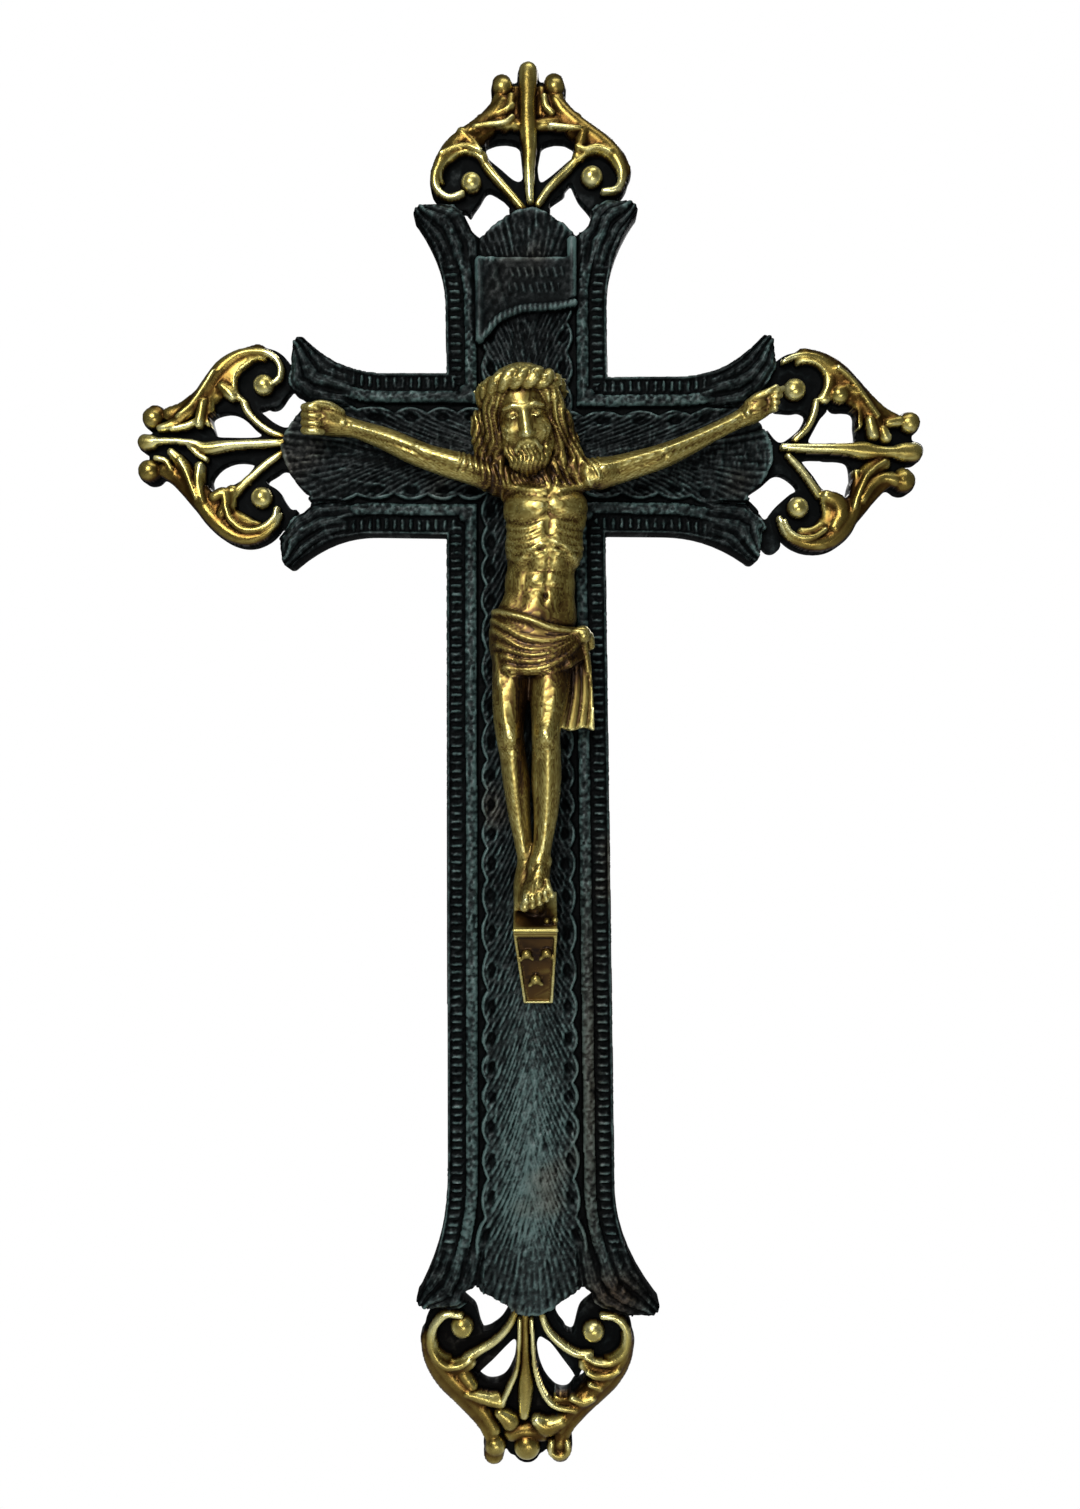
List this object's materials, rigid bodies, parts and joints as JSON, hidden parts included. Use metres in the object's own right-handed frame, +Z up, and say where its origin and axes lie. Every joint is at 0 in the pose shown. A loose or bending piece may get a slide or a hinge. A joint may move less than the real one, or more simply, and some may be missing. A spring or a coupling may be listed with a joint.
{
  "type": "wall crucifix",
  "caption": "Cast metal wall cross with flared leaf ends, pierced scroll finials, title scroll and an applied gilt figure, with a nail pocket in its flat back.",
  "frame": {"origin": "on the flat back of the top arm, on its centreline, just above the nail pocket", "axes": "+Z up the shaft, +X to the viewer's right, -Y out of the wall towards the viewer, +Y into the wall"},
  "size_m": [0.198, 0.0302, 0.3516],
  "materials": {
    "dark_patina": "near-black green patina over the casting, worn to blue-grey on high spots",
    "gilt": "old gold finish, bright on high spots and brown in the hollows"
  },
  "bodies": {
    "root": {"cross": "dark_patina", "corpus": "gilt"}
  },
  "joints": []
}
